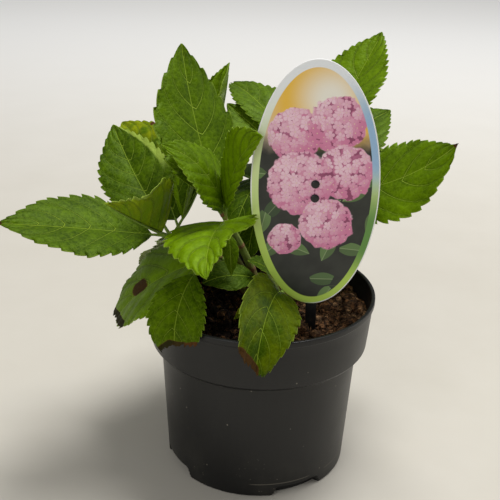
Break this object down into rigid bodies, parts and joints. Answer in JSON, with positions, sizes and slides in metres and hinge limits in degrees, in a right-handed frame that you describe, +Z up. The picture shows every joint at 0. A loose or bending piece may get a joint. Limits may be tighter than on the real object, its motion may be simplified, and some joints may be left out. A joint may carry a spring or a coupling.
{
  "type": "hydrangea shrub in a pot",
  "caption": "Young hydrangea shrub with broad toothed leaves on short green stems, in a round black nursery pot of peat with an oval picture label on a stick.",
  "frame": {"origin": "centre of the pot's flat underside", "axes": "+Z up, +Y away from the side that the label faces, +X to the right seen from that side"},
  "size_m": [0.3443, 0.2981, 0.357],
  "materials": {
    "pot": "satin",
    "soil": "matte",
    "label_stick": "satin",
    "label_plate": "satin",
    "stem": "matte",
    "foliage": "satin"
  },
  "bodies": {
    "root": {"pot": "pot", "soil": "soil", "label_stick": "label_stick", "label_plate": "label_plate", "stem_left": "stem", "foliage_left": "foliage", "stem_centre": "stem", "foliage_centre": "foliage", "stem_right": "stem", "foliage_right": "foliage", "stem_low_left": "stem", "foliage_low_left": "foliage", "stem_low_front": "stem", "foliage_low_front": "foliage", "stem_back_left": "stem", "foliage_back_left": "foliage", "stem_back": "stem", "foliage_back": "foliage", "stem_back_right": "stem", "foliage_back_right": "foliage"}
  },
  "joints": []
}
